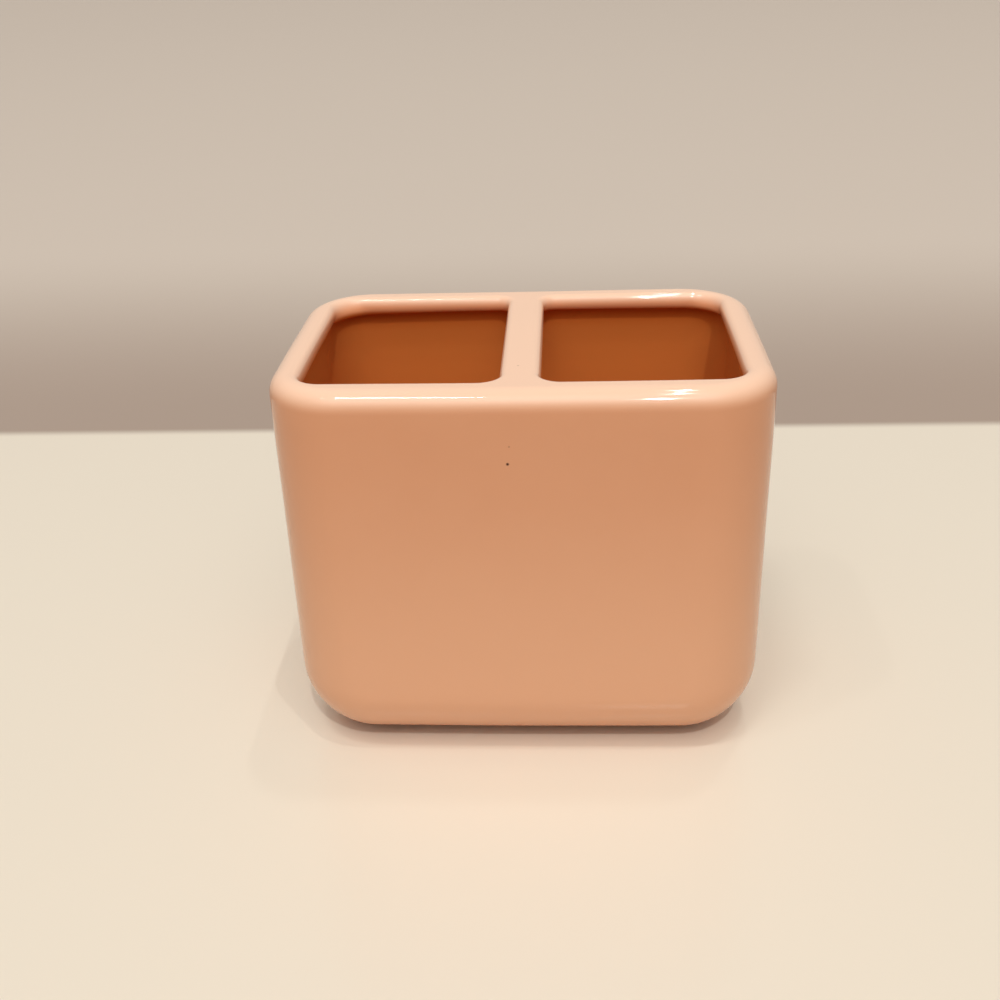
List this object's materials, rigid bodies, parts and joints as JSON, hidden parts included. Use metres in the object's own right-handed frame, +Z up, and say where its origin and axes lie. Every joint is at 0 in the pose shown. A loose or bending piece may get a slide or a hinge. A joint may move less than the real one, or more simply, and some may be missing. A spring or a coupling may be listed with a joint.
{
  "type": "toothbrush holder",
  "caption": "Rounded box-shaped glazed ceramic toothbrush holder, hollow inside, open on top through side-by-side rectangular openings with a bar between them.",
  "frame": {"origin": "on the surface that the holder stands on, under its middle", "axes": "+X along the width, to the right as seen from the front; +Y from the front to the back; +Z up"},
  "size_m": [0.11, 0.0726, 0.0931],
  "materials": {
    "fired_clay": "bare fired earthenware, matt",
    "peach_glaze": "glossy opaque glaze, slightly wavy",
    "pad_elastomer": "soft matt elastomer"
  },
  "bodies": {
    "root": {"cast_body": "fired_clay", "glaze_coat": "peach_glaze", "foot_pad_front_left": "pad_elastomer", "foot_pad_front_right": "pad_elastomer", "foot_pad_back_left": "pad_elastomer", "foot_pad_back_right": "pad_elastomer"}
  },
  "joints": []
}
